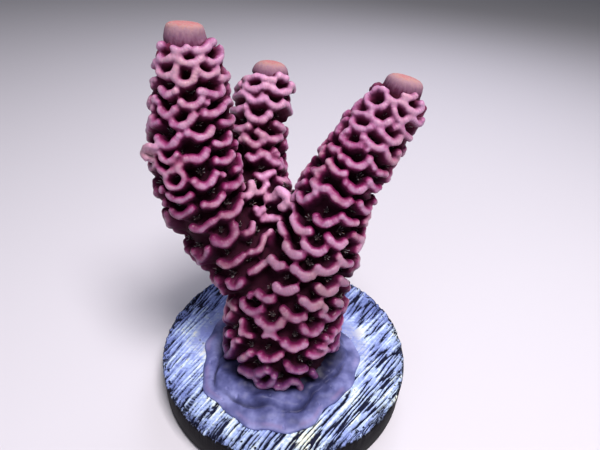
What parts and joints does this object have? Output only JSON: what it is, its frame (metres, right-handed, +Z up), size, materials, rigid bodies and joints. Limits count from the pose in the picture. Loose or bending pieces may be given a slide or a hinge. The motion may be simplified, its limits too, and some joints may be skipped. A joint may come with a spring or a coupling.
{
  "type": "acropora coral",
  "caption": "Branching acropora coral with cupped lips in staggered rows and smooth tips, glued upright to a round grooved disc.",
  "frame": {"origin": "centre of the disc's flat underside", "axes": "+Z up, +X to the right and -Y towards the viewer when the coral is seen from its front"},
  "size_m": [0.0254, 0.0254, 0.0353],
  "materials": {
    "coral_tissue": "moist, semi-gloss pink lips over dark maroon tissue, peach tips",
    "putty": "lavender grey, uneven, satin",
    "disc_ceramic": "unglazed bluish white top with dark grooves, near-black wall"
  },
  "bodies": {
    "root": {"frag_disc": "disc_ceramic", "glue_collar": "putty", "coral_trunk": "coral_tissue", "left_branch": "coral_tissue", "middle_branch": "coral_tissue", "right_branch": "coral_tissue"}
  },
  "joints": []
}
